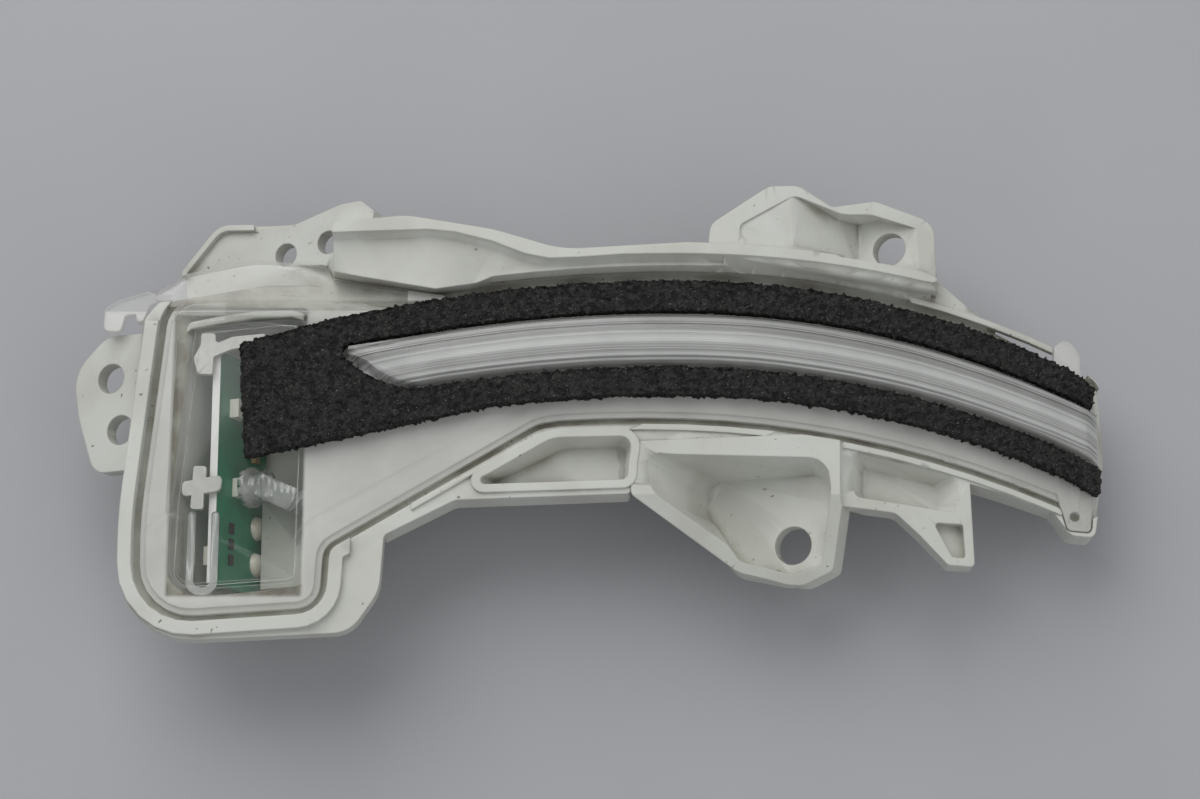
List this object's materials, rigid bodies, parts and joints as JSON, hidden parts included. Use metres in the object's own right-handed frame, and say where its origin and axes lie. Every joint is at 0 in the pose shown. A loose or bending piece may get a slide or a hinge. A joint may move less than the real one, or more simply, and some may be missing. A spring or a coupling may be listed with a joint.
{
  "type": "mirror turn signal lamp",
  "caption": "Turn signal lamp for a car's door mirror: a moulded housing with screw tabs, a long curved clear lens with a raised light strip, and a foam gasket round it.",
  "frame": {"origin": "middle of the lamp's outline, on the plane that its back rests on", "axes": "+X along the arm, from the lamp box to the tip; +Y across it, towards the rear bracket; +Z out of the lens"},
  "size_m": [0.1932, 0.0854, 0.0315],
  "materials": {
    "housing": "fine matt moulding, light warm grey",
    "lens": null,
    "foam": null,
    "guide": "clear moulded plastic",
    "clip": "pale translucent plastic",
    "board": "green solder mask",
    "led": "white package",
    "chip": "black chip",
    "capacitor": "tan chip",
    "diode": "black moulding",
    "terminal": "tinned",
    "solder": "dull solder",
    "vent": "thin dark membrane"
  },
  "bodies": {
    "root": {"housing": "housing", "lens": "lens", "foam_gasket": "foam", "light_guide": "guide", "collimator_bar": "guide", "side_light_guide": "guide", "board_clip_upper": "clip", "board_clip_lower": "clip", "circuit_board": "board", "led_arm": "led", "led_bar": "led", "led_side": "led", "resistor_1": "chip", "resistor_2": "chip", "resistor_3": "chip", "resistor_4": "chip", "capacitor": "capacitor", "diode": "diode", "terminal_upper": "terminal", "terminal_lower": "terminal", "solder_upper": "solder", "solder_lower": "solder", "vent_membrane": "vent"}
  },
  "joints": []
}
